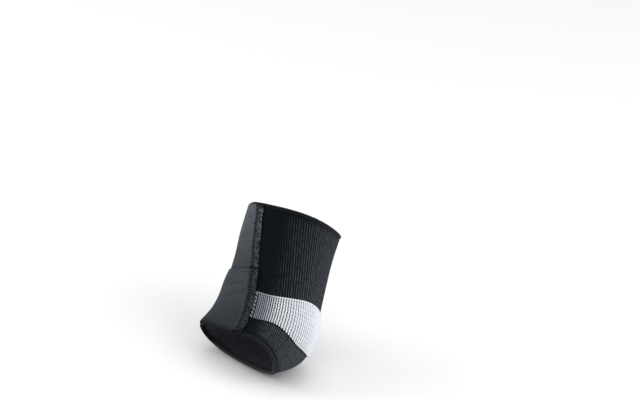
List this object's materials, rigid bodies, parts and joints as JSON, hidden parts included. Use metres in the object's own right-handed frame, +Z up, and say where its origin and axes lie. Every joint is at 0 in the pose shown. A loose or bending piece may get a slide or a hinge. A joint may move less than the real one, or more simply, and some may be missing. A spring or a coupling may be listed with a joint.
{
  "type": "forefoot support bandage",
  "caption": "Knitted elastic support bandage for the ball and instep of a foot, with a light knitted inset and smooth lapped straps, open at both ends.",
  "frame": {"origin": "in the hollow, on the line through the middles of its sections, about halfway along the bandage, where the foot sits", "axes": "+Z up as worn on tiptoe, -Y towards the toes, +X towards the big toe side of a right foot"},
  "size_m": [0.0915, 0.0937, 0.1251],
  "materials": {
    "black_knit": "ribbed matt knit",
    "white_knit": "ribbed matt knit",
    "hem_knit": "smooth rolled knit",
    "grey_elastic": "smooth brushed elastic"
  },
  "bodies": {
    "root": {"knit_sleeve": "black_knit", "knit_inset": "white_knit", "toe_hem": "hem_knit", "instep_hem": "hem_knit", "upper_strap": "grey_elastic", "lower_strap": "grey_elastic"}
  },
  "joints": []
}
